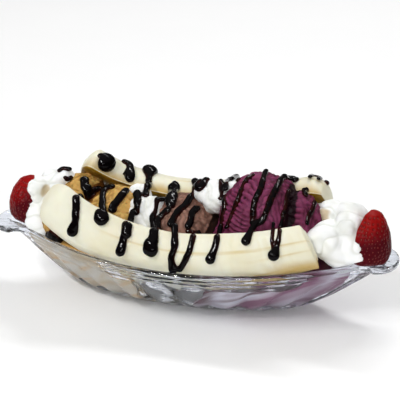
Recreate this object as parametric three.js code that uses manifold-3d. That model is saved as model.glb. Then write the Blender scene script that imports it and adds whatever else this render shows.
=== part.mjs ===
// A banana split in its pressed-glass boat dish: a split banana, five scoops of ice cream, whipped
// cream, two halved strawberries, the melt in the dish and the chocolate syrup draped over it all.
// Millimetres, +Z up. The origin is under the middle of the foot, +X runs along the dish, and -Y is
// the side that the outer face of the front banana half looks to.

import * as THREE from 'three';
import { mergeVertices } from 'three/addons/utils/BufferGeometryUtils.js';
import { ImprovedNoise } from 'three/addons/math/ImprovedNoise.js';
import Module from 'manifold-3d';

const wasm = await Module();
wasm.setup();
const noise = new ImprovedNoise();
const TURN = 2 * Math.PI;
const degrees = THREE.MathUtils.degToRad;
const { clamp, lerp, smoothstep } = THREE.MathUtils;

// ---------------------------------------------------------------- driving dimensions
const GAP = 0.5; // room cut round each piece for its neighbours; about 0.3 is left at its edges

const DISH = {
  height: 34,
  bowlLength: 214.8, // the oval alone, without its two end tabs
  bowlWidth: 91.2,
  rimPoint: 1.84, // 1 gives an ellipse; more draws the oval's ends out to points
  footLength: 110,
  footWidth: 31,
  flareLong: 0.64, // below 1 the wall bulges out low down
  flareWide: 0.66,
  wall: 4.4, // measured level, through the sloping wall
  endWall: 7,
  floor: 6.5,
  floorRound: 3, // the hollow narrows by this at its floor
  flutes: 28,
  fluteDepth: 3,
  insideSegments: 36,
  rimBand: 6, // plain band under the rim
  lug: 5, // how far the wall's two ends swell out to carry the tabs
  lugFrom: 16, // height at which that swelling starts
  lugSpread: 12, // the higher, the narrower the swelling
  tabReach: 116,
  tabHalfLength: 12,
  tabHalfWidth: 16,
  tabNeck: 10.5,
  tabRoot: 16, // how far the tab runs back into the wall
  tabThickness: 3,
  tabRise: 1.5, // the tabs stand this far above the rim
};

const BANANA = {
  halfWidth: 17.5,
  bulge: 16.5,
  faceCrown: 1, // how far the cut face swells
  slimFrom: 0.7, // share of the length after which it slims to its endSize
  segments: 11,
  roundShare: 8 / 11, // share of the section's corners that its round side has
  rings: 14,
};

// Centre line of each half's cut face, the tilt of that face, and how far its ends are rounded off.
const FRONT_BANANA = {
  route: [
    [-76, -14.5, 61], [-52, -18.5, 46.5], [-25, -21, 38], [5, -22, 35.5], [38, -20.5, 40], [69.5, -17.5, 48.5],
  ],
  faceTilt: 25, // the cut face leans in at its foot, and its round side looks out and down
  side: -1,
  roundStart: 9,
  roundEnd: 1.5,
  endSize: 0.86,
  endSlant: 0.3, // the outer side of the right end runs on by this share of its depth
};
const BACK_BANANA = {
  route: [
    [-69, 15.5, 61.5], [-47, 21.5, 48.5], [-15, 25, 41.5], [15, 25, 43.5], [45, 21.5, 48.5], [73, 16, 57.5],
  ],
  faceTilt: 135, // the round side looks up and back
  side: 1,
  roundStart: 5,
  roundEnd: 9,
  endSize: 0.95,
  endSlant: 0,
};

const SCOOPS = {
  scoop_caramel: { lumps: [[-46, 2, 34, 26]], colour: 0xbb9c61, seed: 1 },
  scoop_caramel_small: { lumps: [[-65, 4, 47, 17], [-75, -11, 42, 9.5]], colour: 0xb8985c, seed: 2 },
  scoop_berry: { lumps: [[40, 1, 51.5, 24.5], [30, -3, 33, 22]], colour: 0x6a3f55, seed: 4 },
  scoop_chocolate: { lumps: [[-4, 2, 33, 26]], colour: 0x6e5650, seed: 3 },
  scoop_berry_right: { lumps: [[55.5, 1, 47, 18.5, 1.2]], colour: 0x6a3f55, seed: 5 },
};
const SCOOP = { segments: 14, rings: 8, ruffle: 0.06, ruffleSize: 0.09 };

const CREAMS = {
  cream_left: [[-79, 2, 55.5, 10], [-86, -5, 50, 8.5], [-86, -8, 40, 9.5], [-87, -6, 59, 5.5]],
  cream_mid_left: [[-25, -4, 49.5, 10.5], [-20, -9, 45, 8], [-31, 5, 54, 6.5]],
  cream_mid_right: [[10, 3, 61.5, 8], [14, -1, 59, 7.5], [24, 5, 66, 5]],
  cream_right: [
    [75, 7, 54, 8.5], [88, 5, 52.5, 10], [88, -8, 56, 7], [77.5, -10, 47.5, 10.5], [83, -11, 42, 8],
    [92, -7, 44, 11.5], [86, -10, 38, 7],
  ],
};
const CREAM = { segments: 10, rings: 5, folds: 3, foldDepth: 0.09, twist: 2.4 };

const BERRIES = {
  strawberry_left: { at: [-95.5, -1, 36.2], height: 26, radius: 12.8, settle: 1, lean: 8, turn: 200 },
  strawberry_right: { at: [98.5, -5, 36.2], height: 28.6, radius: 12.6, settle: 1.3, lean: 2, turn: -30 },
};
// Radius and height up a whole strawberry, as shares of its own.
const BERRY_OUTLINE = [
  [0, 0], [0.62, 0.02], [0.9, 0.12], [1, 0.34], [0.95, 0.56], [0.76, 0.8], [0.42, 0.96], [0, 1],
];
const BERRY_SEGMENTS = 16;
const BERRY_CUT_SWELL = 0.06; // how far the cut face stands out, as a share of the radius

// Each pool of melt goes from its left level to its right one along its slope.
const MELTS = {
  melt_caramel: { from: -93, to: -30, levels: [33, 22], slope: [-47, -35], colour: 0xa3835c },
  melt_berry: { from: 18, to: 90, levels: [22, 32], slope: [60, 74], colour: 0x6b4660 },
};
const MELT_STEPS = 12;

// Chocolate syrup. Each strand has its width, the width of the bead at its end, 0 for none, and the
// places that it passes: each is a distance along the dish and an angle from straight up, round a
// level line through the dish. Plus is the back, minus the front.
const SYRUP = { lineHeight: 20, farOff: 120, steps: 48, spacing: 12.5, sides: 4, raise: 0.12, sway: 0.7 };
const STRANDS = [
  [7, 11, [-54, 18], [-53.5, 14], [-54, 9], [-56.5, 8]],
  [4.4, 6.6, [-46, 24], [-44, 30], [-40.5, 23], [-40.5, 17], [-41.5, 14]],
  [4.2, 8.6, [-24.5, -7], [-27, 6], [-29.5, 21], [-32.5, 38]],
  [6.6, 0, [-16.5, 26], [-14.5, 22], [-10, -6], [-10, -14]],
  [4.2, 0, [-9.5, -13], [-13, -22], [-15.5, -28], [-12.5, -44]],
  [3, 0, [-13.5, -5], [-18, -8], [-18, -18], [-18, -26], [-14.5, -42]],
  [5.4, 7.6, [-16, -30], [-12, -49], [-12.5, -55], [-12.5, -63]],
  [4.2, 0, [7.5, 8], [6.5, -1], [4.5, -2], [0.5, 5], [-2, -8], [-5, -17], [-6.5, -26], [-7, -34]],
  [4, 0, [-5, 34], [4.5, 3]],
  [3.6, 0, [5, -6], [4, -13], [3.5, -22], [2, -33]],
  [2.2, 0, [1.5, -35], [5.5, -33], [9.5, -31]],
  [3.6, 4.8, [-2.5, -36], [-0.5, -53], [-0.5, -62], [1, -73]],
  [3.2, 0, [8.5, -31], [9.5, -52], [7, -61], [3, -71]],
  [2.4, 0, [15.5, 8], [17.5, -6], [17, -9]],
  [3.3, 4.8, [20.5, -6], [21, -16], [20.5, -22], [21, -32], [22.5, -48], [19.5, -63]],
  [3, 0, [26.5, 0], [16.5, 39], [15.5, 34], [15.5, 24], [20.5, -6]],
  [2.6, 0, [35, 2], [32, -4], [30, -10], [29, -17], [27, -24], [25.5, -28], [24, -32]],
  [3.3, 0, [40, 8], [41, -11], [40, -19], [39.5, -27], [39.5, -33]],
  [3.4, 4.8, [50, 13], [49.5, -6], [47, -18], [44.5, -27], [40.5, -33], [37.5, -48]],
  [2.5, 5.8, [55, -3], [54.5, -12], [54, -21], [54.5, -26], [55.5, -42], [53, -56]],
  [2, 0, [50.5, -29], [52.5, -43], [52.5, -50]],
  [3.6, 0, [50.5, 6], [51, 24], [56, 16]],
  [3, 0, [68.5, 3], [68, -7], [67.5, -16], [67, -20]],
  [3.6, 0, [62.5, 10], [63, -2]],
  [2.4, 0, [63.5, 14], [63, 27], [67.5, 26], [68, 15]],
  [4.2, 0, [72, 23], [72.5, 24]],
  [4, 5.8, [-62, -13], [-56, -35], [-56, -41], [-56.5, -47], [-58.5, -55]],
  [5.2, 0, [-62.5, 2], [-60.5, -6], [-58, -9], [-55.5, -11]],
  [3.6, 0, [-52.5, 3], [-55, -1], [-55.5, -7], [-56, -10]],
  [3.8, 7.6, [-44.5, 3], [-48.5, 0], [-49.5, -6], [-48.5, -16], [-47.5, -23], [-42.5, -39], [-41, -46]],
  [4.2, 0, [-37.5, 4], [-39, -8], [-40.5, -19], [-41, -27]],
  [3.2, 0, [-77.5, -1], [-75.5, 4], [-70.5, 4]],
  [3, 0, [-69.5, 3], [-73.5, -4]],
  [4.2, 5, [-32, 1], [-28.5, -14], [-28, -21], [-29.5, -25], [-27.5, -47], [-28, -53], [-29.5, -65]],
  [6, 0, [-25.5, -41], [-27, -46], [-28, -52]],
  [9, 11, [-76, -46], [-69.5, -57]],
];

// ---------------------------------------------------------------- solids from geometries
// The geometry as one closed mesh of shared vertices, with its faces pointing out.
function closedMesh(geometry) {
  const bare = geometry.index ? geometry.toNonIndexed() : geometry.clone();
  bare.deleteAttribute('normal');
  bare.deleteAttribute('uv');
  const merged = mergeVertices(bare, 1e-4);
  const index = merged.index.array;
  const triangles = [];
  for (let i = 0; i < index.length; i += 3) {
    const [a, b, c] = [index[i], index[i + 1], index[i + 2]];
    if (a !== b && b !== c && c !== a) triangles.push(a, b, c);
  }
  if (signedVolume(merged.attributes.position.array, triangles) < 0) triangles.reverse();
  merged.setIndex(triangles);
  return merged;
}

// The geometry as a solid, with its surface moved out by a distance.
function solid(geometry, grow = 0) {
  const mesh = closedMesh(geometry);
  mesh.computeVertexNormals();
  const { position, normal } = mesh.attributes;
  const vertProperties = Float32Array.from(position.array, (value, i) => value + grow * normal.array[i]);
  const triVerts = new Uint32Array(mesh.index.array);
  return new wasm.Manifold(new wasm.Mesh({ numProp: 3, vertProperties, triVerts }));
}

function signedVolume(vertices, triangles) {
  const corner = (n) => new THREE.Vector3().fromArray(vertices, 3 * n);
  let six = 0;
  for (let i = 0; i < triangles.length; i += 3) {
    six += corner(triangles[i]).dot(corner(triangles[i + 1]).cross(corner(triangles[i + 2])));
  }
  return six / 6;
}

function geometryOf(body) {
  const { vertProperties, triVerts, numProp } = body.getMesh();
  const geometry = new THREE.BufferGeometry();
  const position = new Float32Array((vertProperties.length / numProp) * 3);
  for (let i = 0; i < position.length / 3; i += 1) {
    for (let k = 0; k < 3; k += 1) position[3 * i + k] = vertProperties[numProp * i + k];
  }
  geometry.setAttribute('position', new THREE.BufferAttribute(position, 3));
  geometry.setIndex(Array.from(triVerts));
  return geometry;
}

function reshape(geometry, move) {
  const position = geometry.attributes.position;
  const point = new THREE.Vector3();
  for (let i = 0; i < position.count; i += 1) {
    point.fromBufferAttribute(position, i);
    move(point);
    position.setXYZ(i, point.x, point.y, point.z);
  }
  return geometry;
}

function largestBody(body) {
  const pieces = body.decompose();
  pieces.sort((a, b) => b.volume() - a.volume());
  return pieces[0];
}

function union(bodies) {
  return bodies.reduce((all, body) => all.add(body));
}

// ---------------------------------------------------------------- glass dish
function ovalPoint(angle, halfLength, halfWidth, pointed) {
  const sine = Math.sin(angle);
  return [halfLength * Math.cos(angle), halfWidth * Math.sign(sine) * Math.abs(sine) ** pointed];
}

// Half-sizes of the outer wall at a height, without its flutes.
function dishOval(z) {
  const rise = clamp(z / DISH.height, 0, 1);
  return {
    halfLength: lerp(DISH.footLength, DISH.bowlLength, rise ** DISH.flareLong) / 2,
    halfWidth: lerp(DISH.footWidth, DISH.bowlWidth, rise ** DISH.flareWide) / 2,
    pointed: lerp(1, DISH.rimPoint, rise ** 0.8),
  };
}

// A closed skin with one oval ring for each level, and a point at either end of the list.
function ovalSkin(levels, segments, offset) {
  const profile = levels.map((level, i) => new THREE.Vector2(i === 0 || i === levels.length - 1 ? 0 : 1, i));
  return reshape(new THREE.LatheGeometry(profile, segments), (point) => {
    const level = levels[Math.round(point.y)];
    const reach = Math.hypot(point.x, point.z);
    const angle = Math.atan2(point.z, point.x);
    const oval = dishOval(level.z);
    const grow = offset(angle, level);
    const [x, y] = ovalPoint(angle, oval.halfLength + grow.long, oval.halfWidth + grow.wide, oval.pointed);
    point.set(reach * x, reach * y, level.top ?? level.z);
  });
}

function dishOutside() {
  const { height, rimBand, flutes, fluteDepth, lug, lugFrom, lugSpread } = DISH;
  const heights = [0, 0, 2.5, 10, 19, height - rimBand, height - 1, height, height];
  const levels = heights.map((z) => ({ z }));
  return ovalSkin(levels, 2 * flutes, (angle, level) => {
    const strength = smoothstep(level.z, 0, 6) * (1 - smoothstep(level.z, 20, height - rimBand));
    const scallop = Math.abs(Math.sin((angle * flutes) / 2));
    const depth = fluteDepth * strength * (scallop - 0.5);
    const rounded = level.z === height ? -0.8 : 0;
    const swelling = lug * smoothstep(level.z, lugFrom, height) * Math.cos(angle) ** lugSpread;
    return { long: depth + rounded + swelling, wide: depth + rounded };
  });
}

function dishCavity(inset) {
  const { height, wall, endWall, floor, floorRound } = DISH;
  const heights = [floor, floor, floor + floorRound, 14, 24, height];
  const levels = heights.map((z) => ({ z, top: z + inset }));
  const openTop = { z: height, top: 2 * height };
  levels.push(openTop, openTop);
  return ovalSkin(levels, DISH.insideSegments, (angle, level) => {
    const narrow = level.top <= floor + inset ? floorRound : 0;
    return { long: -(endWall + 2 * inset + narrow), wide: -(wall + inset + narrow) };
  });
}

function tab(side, grow = 0) {
  const { tabReach, tabThickness, tabRise, height } = DISH;
  const tabHalfLength = DISH.tabHalfLength + grow;
  const tabHalfWidth = DISH.tabHalfWidth + grow;
  const tabNeck = DISH.tabNeck + grow;
  const middle = tabReach - DISH.tabHalfLength;
  const outline = new THREE.Shape();
  outline.moveTo(middle - DISH.tabRoot, -tabNeck);
  outline.lineTo(middle - 6, -tabNeck);
  outline.quadraticCurveTo(middle - 5, -tabHalfWidth, middle, -tabHalfWidth);
  outline.absellipse(middle, 0, tabHalfLength, tabHalfWidth, -Math.PI / 2, Math.PI / 2, false);
  outline.quadraticCurveTo(middle - 5, tabHalfWidth, middle - 6, tabNeck);
  outline.lineTo(middle - DISH.tabRoot, tabNeck);
  const depth = tabThickness + 2 * grow;
  const plate = new THREE.ExtrudeGeometry(outline, { depth, bevelEnabled: false, curveSegments: 9 });
  plate.translate(0, 0, height + tabRise + grow - depth);
  if (side < 0) plate.rotateZ(Math.PI);
  return solid(plate);
}

function dish() {
  return solid(dishOutside()).add(tab(1)).add(tab(-1)).subtract(solid(dishCavity(0)));
}

// Everything that food can't be in: a block with the dish in it, up to the rim, less the dish's hollow.
function dishMould() {
  const { tabReach, bowlWidth, height } = DISH;
  const block = new THREE.BoxGeometry(2 * tabReach, bowlWidth, 2 * (height + GAP));
  return union([solid(block), tab(1, GAP), tab(-1, GAP)]).subtract(solid(dishCavity(GAP)));
}

// ---------------------------------------------------------------- banana halves
// Spends most of the section's corners on its round side: the first half turn.
function sectionTurn(turn) {
  const share = (turn / TURN + 1) % 1;
  const { roundShare } = BANANA;
  if (share < roundShare) return (Math.PI * share) / roundShare;
  return Math.PI + (Math.PI * (share - roundShare)) / (1 - roundShare);
}

function bananaHalf({ route, faceTilt, side, roundStart, roundEnd, endSize, endSlant }) {
  const curve = new THREE.CatmullRomCurve3(route.map((p) => new THREE.Vector3(...p)));
  const length = curve.getLength();
  const skin = new THREE.CylinderGeometry(1, 1, 1, BANANA.segments, BANANA.rings);
  const tilt = degrees(faceTilt);
  const across = new THREE.Vector3();
  const out = new THREE.Vector3();
  return reshape(skin, (point) => {
    const share = point.y + 0.5;
    const along = share * length;
    const reach = Math.hypot(point.x, point.z);
    const turn = sectionTurn(Math.atan2(point.z, point.x));
    const round = Math.sin(turn);
    const spot = curve.getPointAt(share);
    const heading = curve.getTangentAt(share);
    across.set(0, side * Math.sin(tilt), Math.cos(tilt));
    across.addScaledVector(heading, -heading.z * Math.cos(tilt)).normalize();
    out.crossVectors(across, heading).normalize();
    if (out.y * side < 0) out.negate();
    const nearStart = 1 - clamp(along / roundStart, 0, 1);
    const nearEnd = 1 - clamp((length - along) / roundEnd, 0, 1);
    const slim = lerp(1, endSize, smoothstep(share, BANANA.slimFrom, 1));
    const taper = slim * Math.sqrt(1 - 0.75 * nearStart ** 2) * Math.sqrt(1 - 0.5 * nearEnd ** 2);
    const wide = BANANA.halfWidth * taper * Math.cos(turn);
    const deep = (round > 0 ? BANANA.bulge * taper : BANANA.faceCrown) * round;
    const slant = endSlant * smoothstep(share, BANANA.slimFrom, 1) * reach * deep;
    point.copy(spot).addScaledVector(across, reach * wide).addScaledVector(out, reach * deep);
    point.addScaledVector(heading, slant);
  });
}

// ---------------------------------------------------------------- ice cream
function scoopLump([x, y, z, radius, tall = 1], seed) {
  const ball = new THREE.SphereGeometry(1, SCOOP.segments, SCOOP.rings);
  ball.rotateX(Math.PI / 2);
  return reshape(ball, (point) => {
    const size = SCOOP.ruffleSize * radius;
    const bump = noise.noise(point.x * size + seed * 7.3, point.y * size, point.z * size * 1.6);
    point.multiplyScalar(radius * (1 + SCOOP.ruffle * bump));
    point.z *= tall;
    point.x += x;
    point.y += y;
    point.z += z;
  });
}

// ---------------------------------------------------------------- whipped cream
function creamLump([x, y, z, radius], seed) {
  const ball = new THREE.SphereGeometry(1, CREAM.segments, CREAM.rings);
  ball.rotateX(Math.PI / 2);
  return reshape(ball, (point) => {
    const angle = Math.atan2(point.y, point.x);
    const flat = Math.hypot(point.x, point.y);
    const fold = Math.cos(CREAM.folds * angle + CREAM.twist * point.z + seed * 2) * flat;
    point.multiplyScalar(radius * (1 + CREAM.foldDepth * fold));
    point.x += x;
    point.y += y;
    point.z += z;
  });
}

// ---------------------------------------------------------------- strawberries
// settle over 1 brings its widest part lower down.
function strawberryHalf({ at, height, radius, settle, lean, turn }) {
  const profile = BERRY_OUTLINE.map(([r, h]) => new THREE.Vector2(r * radius, h ** settle * height));
  const whole = new THREE.LatheGeometry(profile, BERRY_SEGMENTS);
  whole.rotateX(Math.PI / 2);
  reshape(whole, (point) => {
    if (point.x < 0) point.x *= BERRY_CUT_SWELL;
  });
  whole.rotateZ(degrees(turn));
  whole.rotateY(degrees(lean));
  return whole.translate(...at);
}

// ---------------------------------------------------------------- melt
// The stretch of the dish that a pool of melt takes up, up to its levels.
function poolSpace({ from, to, levels, slope }, grow = 0) {
  const slab = new THREE.BoxGeometry(to - from + 2 * grow, DISH.bowlWidth, 1, MELT_STEPS);
  reshape(slab, (point) => {
    point.x += (from + to) / 2;
    const level = lerp(...levels, smoothstep(point.x, ...slope));
    point.z = point.z > 0 ? level + grow : 0;
  });
  return solid(slab);
}

// ---------------------------------------------------------------- chocolate syrup
const caster = new THREE.Raycaster();

// Where the syrup lies at a distance along the dish and an angle, and the piece that it lies on.
function drape(x, angle, meshes) {
  const away = new THREE.Vector3(0, Math.sin(angle), Math.cos(angle));
  const start = new THREE.Vector3(x, 0, SYRUP.lineHeight).addScaledVector(away, SYRUP.farOff);
  caster.set(start, away.clone().negate());
  const [hit] = caster.intersectObjects(meshes);
  return { name: hit.object.name, point: hit.point, normal: hit.face.normal };
}

function strandSamples([width, bead, ...places], meshes, seed) {
  const route = new THREE.SplineCurve(places.map((place) => new THREE.Vector2(...place)));
  return Array.from({ length: SYRUP.steps + 1 }, (_, i) => {
    const share = i / SYRUP.steps;
    const { x, y: angle } = route.getPoint(share);
    const sway = SYRUP.sway * Math.sin(6 * share + 2.3 * seed) * Math.sin(Math.PI * share);
    const sample = drape(x + sway, degrees(angle), meshes);
    sample.point.addScaledVector(sample.normal, SYRUP.raise * width);
    return { ...sample, last: i === SYRUP.steps, width, bead };
  });
}

// Splits a strand into runs that each lie on one piece.
function runsOf(samples) {
  const runs = [];
  for (const sample of samples) {
    const run = runs.at(-1);
    if (run && run[0].name === sample.name) run.push(sample);
    else runs.push([sample]);
  }
  return runs;
}

function strandTube(run) {
  const points = run.map((sample) => sample.point);
  const length = points.slice(1).reduce((sum, p, i) => sum + p.distanceTo(points[i]), 0);
  const count = Math.max(2, Math.round(length / SYRUP.spacing) + 1);
  const step = (points.length - 1) / (count - 1);
  const knots = Array.from({ length: count }, (_, i) => points[Math.round(i * step)]);
  const ring = Array.from({ length: SYRUP.sides }, (_, i) => {
    const turn = (TURN * i) / SYRUP.sides;
    return new THREE.Vector2(Math.cos(turn), Math.sin(turn)).multiplyScalar(run[0].width / 2);
  });
  const extrudePath = new THREE.CatmullRomCurve3(knots);
  return new THREE.ExtrudeGeometry(new THREE.Shape(ring), { steps: count - 1, extrudePath });
}

// The bead lies inside the end of its strand, which it fills out to its own width.
function strandBead(run) {
  const tip = run.at(-1).point;
  const insideTip = (sample) => sample.point.distanceTo(tip) > sample.bead / 2;
  const { point, normal, bead } = run.findLast(insideTip) ?? run[0];
  const ball = new THREE.SphereGeometry(bead / 2, 6, 4);
  ball.rotateX(Math.PI / 2);
  ball.scale(1, 1, 0.6);
  ball.applyQuaternion(new THREE.Quaternion().setFromUnitVectors(new THREE.Vector3(0, 0, 1), normal));
  return ball.translate(...point);
}

// ---------------------------------------------------------------- cutting and putting together
// The shapes that each piece of food is joined from, in the order in which the pieces cut the others.
const shapes = {
  banana_front: [bananaHalf(FRONT_BANANA)],
  banana_back: [bananaHalf(BACK_BANANA)],
};
for (const name of Object.keys(MELTS)) shapes[name] = [];
for (const [name, { lumps, seed }] of Object.entries(SCOOPS)) {
  shapes[name] = lumps.map((lump, i) => scoopLump(lump, seed + i / 3));
}
for (const [name, berry] of Object.entries(BERRIES)) shapes[name] = [strawberryHalf(berry)];
Object.entries(CREAMS).forEach(([name, lumps], seed) => {
  shapes[name] = lumps.map((lump, i) => creamLump(lump, seed + i));
});
const order = Object.keys(shapes);

function join(geometries, grow = 0) {
  return union(geometries.map((geometry) => solid(geometry, grow)));
}

function cut(body, others) {
  return others.reduce((rest, other) => rest.subtract(other), body);
}

function rawPiece(name, grow = 0) {
  return name in MELTS ? poolSpace(MELTS[name], grow) : join(shapes[name], grow);
}

const mould = dishMould();
const roomFor = Object.fromEntries(order.map((name) => [name, rawPiece(name, GAP)]));
const bodies = {};
order.forEach((name, i) => {
  const earlier = order.slice(0, i).map((other) => roomFor[other]);
  bodies[name] = largestBody(cut(rawPiece(name), [mould, ...earlier]));
});

const meshes = order.map((name) => {
  const mesh = new THREE.Mesh(geometryOf(bodies[name]));
  mesh.name = name;
  return mesh;
});
const syrupOn = Object.fromEntries(order.map((name) => [name, []]));
STRANDS.forEach((strand, seed) => {
  for (const run of runsOf(strandSamples(strand, meshes, seed))) {
    if (run.length < 3) continue;
    syrupOn[run[0].name].push(strandTube(run));
    if (run.at(-1).last && run[0].bead > 0) syrupOn[run[0].name].push(strandBead(run));
  }
});
const roomForSyrup = [];
for (const name of order.filter((piece) => syrupOn[piece].length > 0)) {
  const others = order.filter((other) => other !== name).map((other) => roomFor[other]);
  const syrup = cut(join(syrupOn[name]), [mould, ...others, ...roomForSyrup]);
  bodies[name] = largestBody(bodies[name].add(syrup));
  roomForSyrup.push(join(syrupOn[name], GAP));
}

const LOOKS = {
  glass: { color: 0xd5dbe0, roughness: 0.05, metalness: 0 },
  banana: { color: 0xf3eed3, roughness: 0.6, metalness: 0 },
  cream: { color: 0xf8faf8, roughness: 0.7, metalness: 0 },
  strawberry: { color: 0x8a1a18, roughness: 0.35, metalness: 0 },
};

function look(name) {
  if (name === 'dish') return LOOKS.glass;
  if (name.startsWith('banana')) return LOOKS.banana;
  if (name.startsWith('cream')) return LOOKS.cream;
  if (name.startsWith('strawberry')) return LOOKS.strawberry;
  return { color: (SCOOPS[name] ?? MELTS[name]).colour, roughness: 0.55, metalness: 0 };
}

const bananaSplit = new THREE.Group();
for (const [name, body] of Object.entries({ dish: dish(), ...bodies })) {
  const mesh = new THREE.Mesh(geometryOf(body), new THREE.MeshStandardMaterial(look(name)));
  mesh.name = name;
  bananaSplit.add(mesh);
}

export default bananaSplit;
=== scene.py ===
# A banana split in its pressed-glass boat dish: the finished look of every piece.
# Sizes are in millimetres, and turn into metres only where they go into Blender. +X runs along the dish,
# -Y is its front and +Z is up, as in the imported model.

import math
from types import SimpleNamespace as Sizes

import bpy
import numpy as np
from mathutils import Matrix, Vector
from mathutils.bvhtree import BVHTree


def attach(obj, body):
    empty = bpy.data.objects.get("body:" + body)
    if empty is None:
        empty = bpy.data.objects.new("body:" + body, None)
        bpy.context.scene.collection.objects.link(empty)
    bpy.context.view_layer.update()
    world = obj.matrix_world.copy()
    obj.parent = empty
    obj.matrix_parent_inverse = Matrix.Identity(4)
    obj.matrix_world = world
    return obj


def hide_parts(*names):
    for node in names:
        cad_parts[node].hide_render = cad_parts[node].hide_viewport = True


MM = 0.001
TURN = 2 * math.pi

# ------------ driving sizes
DISH = Sizes(
    height=34, bowl_length=214.8, bowl_width=91.2, rim_point=1.84, foot_length=110, foot_width=31,
    flare_long=0.64, flare_wide=0.66, wall=4.4, end_wall=7, floor=6.5, floor_round=3,
    flutes=28, flute_depth=3, flute_full_from=6, flute_full_to=20, flute_softness=0.004, foot_edge=1,
    rim_band=6, lip=1.6, lip_squareness=2.4, lug=5, lug_from=16, lug_spread=12,
    tab_reach=116, tab_half_length=12, tab_half_width=16, tab_neck=10.5, tab_root=0.48, tab_thickness=3,
    tab_rise=1.5, tab_rise_over=9,
)
# The low steps in the plain band under the rim: the height and depth of each, and where they start.
RIM_STEPS = Sizes(pitch=3.4, depth=0.35, start=25.5, full_from=27)
INTO_GLASS = 0.35  # how far the food that touches the glass reaches into it, so that no air shows

# What both banana halves share. The width and wander of the lines in the flesh are in radians round the half.
BANANA = Sizes(
    half_width=17.5, bulge=16.5, face_crown=1, slim_from=0.7, start_taper=0.75, end_taper=0.5,
    levels=240, count=120, cap_rings=13, cap_depth=1.2, corners=5, corner_height=0.012,
    line_width=0.035, line_wander=0.07, line_wander_size=40, line_depth=0.3, line_start=12,
    fibre_depth=0.06, fibre_size=(1.3, 1, 6), ripe_before=25, ripe_after=15, edge_wander=0.25,
    edge_wander_size=12, lump_height=0.45, lump_size=16, grain_height=0.1, grain_size=3.5,
)
# Each half: its middle line, the turn of its cut face, its side of the dish, the rounding, size and slant of
# its ends, and its long lines, each with its angle, its strength and where along the half it starts. Its
# flesh is gold over the angles gold_from and beyond the length ripe_from, partly its own gold and partly
# painted shade along the edge beside the cut face. The last share paints the cut face dark gold to olive,
# partly the flesh's own wet gold and partly painted shade, fully on the back half, whose cut face lies in
# shade.
BANANAS = {
    "banana_front": Sizes(
        route=[(-76, -14.5, 61), (-52, -18.5, 46.5), (-25, -21, 38), (5, -22, 35.5), (38, -20.5, 40),
               (69.5, -17.5, 48.5)],
        face_tilt=25, side=-1, round_start=9, round_end=1.5, end_size=0.86, end_slant=0.3, seed=1,
        ridges=[(0.66, 0.8, 42), (1.02, 0.5, 125), (1.62, 0.8, 100), (1.95, 0.5, 112)], gold_from=(1.2, 1.9),
        ripe_from=105, face_gold=0.15,
    ),
    "banana_back": Sizes(
        route=[(-69, 15.5, 61.5), (-47, 21.5, 48.5), (-15, 25, 41.5), (15, 25, 43.5), (45, 21.5, 48.5),
               (73, 16, 57.5)],
        face_tilt=135, side=1, round_start=5, round_end=9, end_size=0.95, end_slant=0, seed=2,
        ridges=[(1.2, 0.4, 30), (1.9, 0.5, 0), (2.4, 0.5, 60)], gold_from=(2.65, 3.2), ripe_from=0,
        face_gold=1,
    ),
}

# Middle, radius and stretch upwards of the balls that each scoop is made of.
SCOOPS = {
    "scoop_caramel": [(-46, 2, 34, 26, 1)],
    "scoop_caramel_small": [(-65, 4, 47, 17, 1), (-75, -11, 42, 9.5, 1)],
    "scoop_berry": [(40, 1, 51.5, 24.5, 1), (30, -3, 33, 22, 1)],
    "scoop_chocolate": [(-4, 2, 33, 26, 1)],
    "scoop_berry_right": [(55.5, 1, 47, 18.5, 1.2)],
}

SCOOP = Sizes(
    voxel=0.53, smoothing=6, warp=1.4, warp_size=6, patch=13, rib_lean=0.25, break_size=(3.4, 3.4, 2),
    drag_size=(2.2, 2.2, 12), bulge_height=1.3, bulge_size=14, pit_depth=0.5, pit_size=2.1,
    fine_height=0.12, fine_size=1.1, crease_depth=1.2, crease_wander=0.5, crease_wander_size=4,
)
# How far each flavour is torn (plus is more), the size of its ribs and drag marks, and how far the crease
# round a neighbouring scoop reaches.
FINISHES = {
    "caramel": Sizes(torn=-0.05, rib_pitch=3.1, rib_depth=1.3, drag_depth=1.2, crease=3.5),
    "chocolate": Sizes(torn=-0.3, rib_pitch=2.6, rib_depth=1, drag_depth=1, crease=3.5),
    "berry": Sizes(torn=0.05, rib_pitch=2.4, rib_depth=1.7, drag_depth=1.3, crease=2.4),
}

CREAM = Sizes(voxel=0.6, smoothing=34, warp=3, warp_size=10, billow_height=3.4, billow_size=(13, 13, 9),
              fold_height=1.5, fold_size=(8, 8, 10), fine_height=0.25, fine_size=3, sunk=1.3)
# Middle and radius of each blob of whipped cream.
CREAMS = {
    "cream_left": [(-79, 2, 55.5, 10), (-86, -5, 50, 8.5), (-86, -8, 40, 9.5), (-87, -6, 59, 5.5)],
    "cream_mid_left": [(-25, -4, 49.5, 10.5), (-20, -9, 45, 8), (-31, 5, 54, 6.5)],
    "cream_mid_right": [(10, 3, 61.5, 8), (14, -1, 59, 7.5), (24, 5, 66, 5)],
    "cream_right": [(75, 7, 54, 8.5), (88, 5, 52.5, 10), (88, -8, 56, 7), (77.5, -10, 47.5, 10.5),
                    (83, -11, 42, 8), (92, -7, 44, 11.5), (86, -10, 38, 7)],
}

# Where the cream is tinted tan: a place and how far the tint reaches.
CREAM_TAN_PATCHES = {
    "cream_left": (-83.5, -7.5, 57.5, 4.5),
    "cream_mid_left": (-20, -14, 38, 5),
    "cream_mid_right": (12, -8, 49, 4),
    "cream_right": (73.5, 0, 57, 5),
}

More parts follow.
